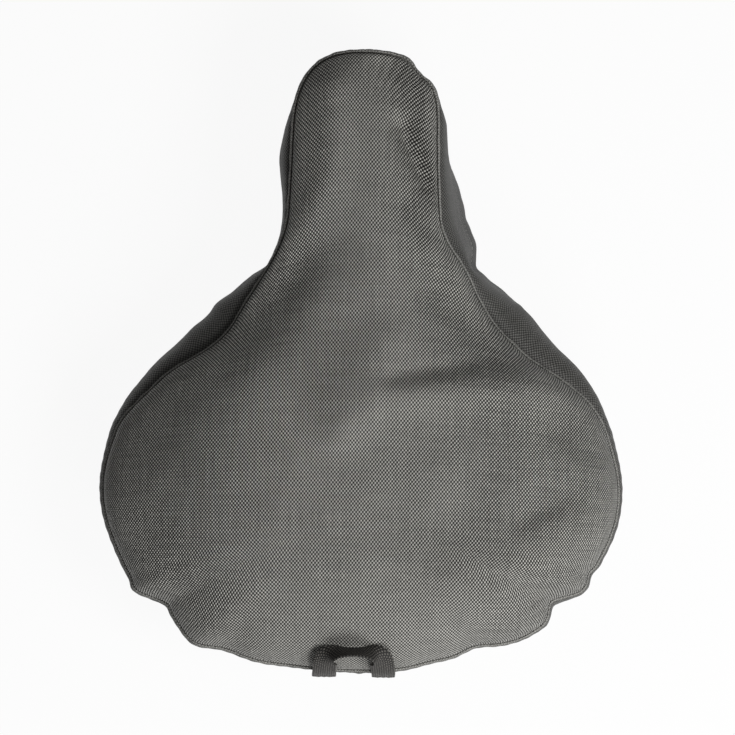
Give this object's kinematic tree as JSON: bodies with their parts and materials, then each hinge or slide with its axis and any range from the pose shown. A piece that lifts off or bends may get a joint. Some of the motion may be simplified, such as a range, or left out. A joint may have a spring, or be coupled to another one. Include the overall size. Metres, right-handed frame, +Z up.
{
  "type": "bike saddle cover",
  "caption": "Slip-on canvas cover for a wide bicycle saddle: shaped top panel, gathered side band with an elastic hem, and a webbing pull loop at the back.",
  "frame": {"origin": "on the plane that the hem stands on, under the middle of the cover's outline", "axes": "+Y towards the nose, +X to the rider's right, +Z up"},
  "size_m": [0.2476, 0.2953, 0.0896],
  "materials": {
    "canvas": "matte woven, coated on the inside",
    "welt": "matte woven",
    "elastic": "matte knitted",
    "webbing": "matte woven tape"
  },
  "bodies": {
    "root": {"top_panel": "canvas", "side_band": "canvas", "seam_welt": "welt", "hem_elastic": "elastic", "pull_loop": "webbing"}
  },
  "joints": []
}
